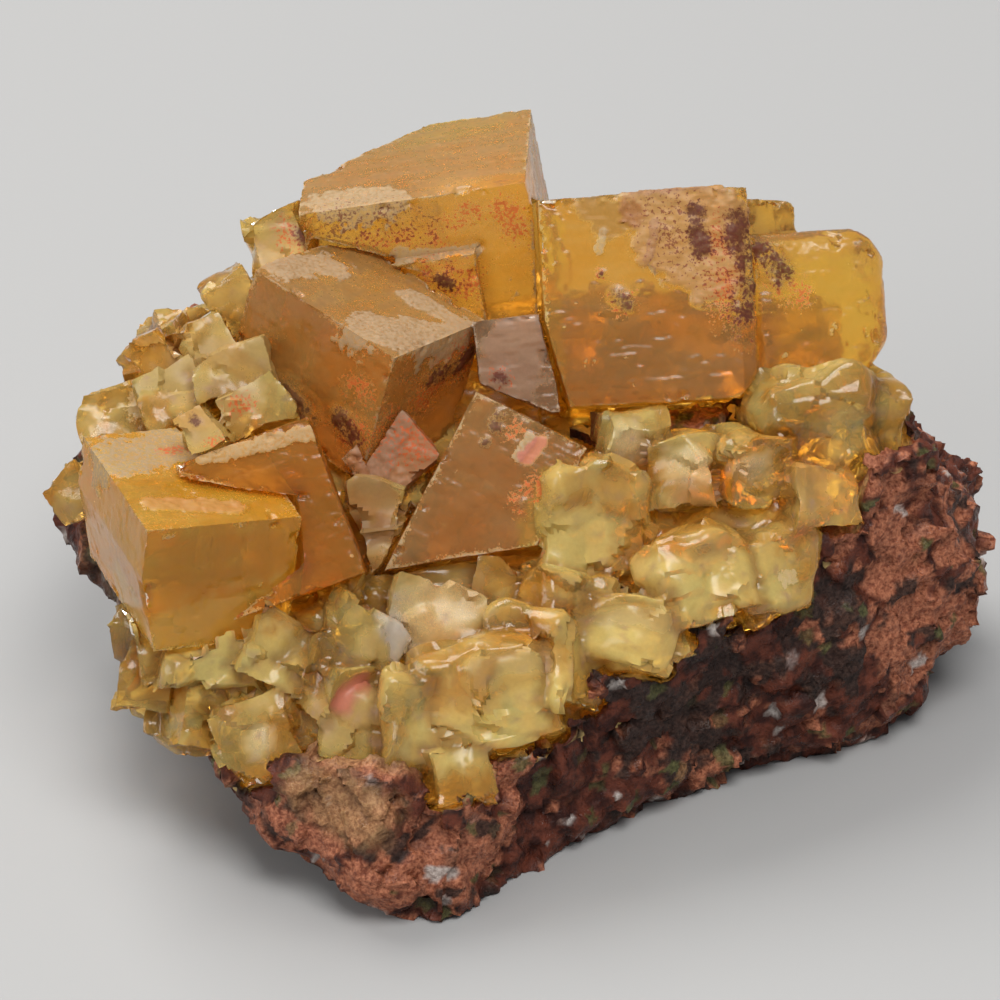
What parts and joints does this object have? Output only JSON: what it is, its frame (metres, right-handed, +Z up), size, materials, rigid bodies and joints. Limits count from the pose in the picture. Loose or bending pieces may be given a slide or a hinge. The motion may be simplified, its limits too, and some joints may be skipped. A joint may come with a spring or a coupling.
{
  "type": "fluorite on matrix mineral specimen",
  "caption": "Cubic amber and yellow fluorite crystals grown over a rough lump of pink and dark granite that stands on a flat worn foot.",
  "frame": {"origin": "middle of the specimen's outline in plan, on the plane it stands on", "axes": "+X along the specimen's length, +Y from its low front to its high back, +Z up"},
  "size_m": [0.0624, 0.0458, 0.036],
  "materials": {
    "granite": "rough",
    "amber_fluorite": "frosted",
    "brown_fluorite": "frosted",
    "yellow_fluorite": "frosted"
  },
  "bodies": {
    "root": {"matrix": "granite", "crust": "yellow_fluorite", "crystal_right": "amber_fluorite", "crystal_centre": "brown_fluorite", "crystal_back": "amber_fluorite", "crystal_left": "amber_fluorite", "crystal_amber": "amber_fluorite", "crystal_wedge": "brown_fluorite", "crystal_rhomb": "brown_fluorite", "crystal_violet": "brown_fluorite"}
  },
  "joints": []
}
